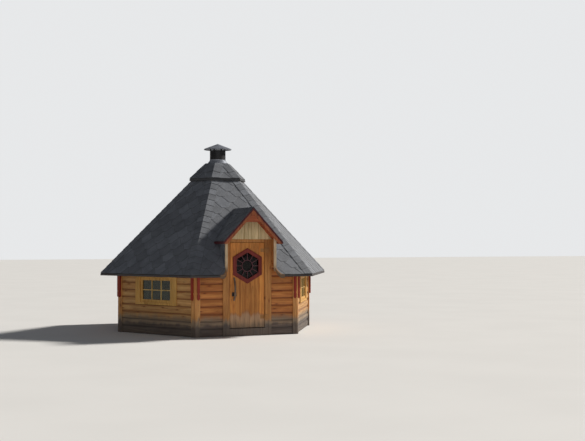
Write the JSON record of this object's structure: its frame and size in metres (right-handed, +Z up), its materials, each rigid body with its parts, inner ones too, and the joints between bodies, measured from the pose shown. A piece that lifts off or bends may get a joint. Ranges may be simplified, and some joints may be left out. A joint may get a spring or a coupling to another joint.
{
  "type": "log cabin",
  "caption": "Hexagonal log cabin with a steep shingled roof, a small dormer over a hinged plank door, a smoke cap with a chimney and windows in two sides.",
  "frame": {"origin": "centre of the hexagonal plan at ground level", "axes": "+Z up, the door faces -Y, two corners lie on the X axis"},
  "size_m": [4.5712, 3.9908, 3.5899],
  "materials": {
    "logs": "oiled, honey brown",
    "trim_wood": "oiled, lighter than the logs",
    "door_wood": "oiled planks",
    "pale_boards": "pale boards",
    "red_paint": "red stain",
    "dark_red_paint": "dark red stain",
    "floor_wood": "bare boards",
    "shingles": "mineral-faced bitumen covering on boards",
    "curb_wood": "dark stained",
    "black_metal": "black paint",
    "grille_metal": "dull paint",
    "glass": "clear pane on a dark room",
    "branch_wood": "weathered branch"
  },
  "bodies": {
    "cabin": {"barge_boards": "red_paint", "chimney_collar": "black_metal", "chimney_hat": "black_metal", "chimney_pipe": "black_metal", "corner_battens": "red_paint", "corner_boards": "trim_wood", "cut_trims": "trim_wood", "door_casing": "trim_wood", "door_frame": "trim_wood", "door_sill": "trim_wood", "dormer_cheeks": "trim_wood", "dormer_eave_boards": "dark_red_paint", "dormer_ridge_cap": "shingles", "dormer_roof": "red_paint", "eave_fascia": "shingles", "floor_bearers": "floor_wood", "floor_deck": "floor_wood", "gable_panel": "pale_boards", "hat_straps": "black_metal", "hinge_frame_wings": "black_metal", "hip_caps": "shingles", "roof_back": "shingles", "roof_back_left": "shingles", "roof_back_right": "shingles", "roof_front": "shingles", "roof_front_left": "shingles", "roof_front_right": "shingles", "smoke_cap": "shingles", "smoke_curb": "curb_wood", "verge_boards": "dark_red_paint", "wall_back": "logs", "wall_back_left": "logs", "wall_back_right": "logs", "wall_door_left": "logs", "wall_door_right": "logs", "wall_front_left": "logs", "wall_front_right": "logs", "window_casings": "trim_wood", "window_panes": "glass", "window_sashes": "trim_wood"},
    "door": {"door_leaf": "door_wood", "door_light_frame": "red_paint", "door_light_pane": "glass", "door_light_grille": "grille_metal", "door_pull": "branch_wood", "door_latch": "black_metal", "hinge_leaf_wings": "black_metal"}
  },
  "joints": [
    {"name": "door_hinge", "type": "hinge", "parent": "cabin", "child": "door", "pos_m": [0.332, -1.70043, 0.93], "axis": [0, 0, 1], "range_deg": [0, 100]}
  ]
}
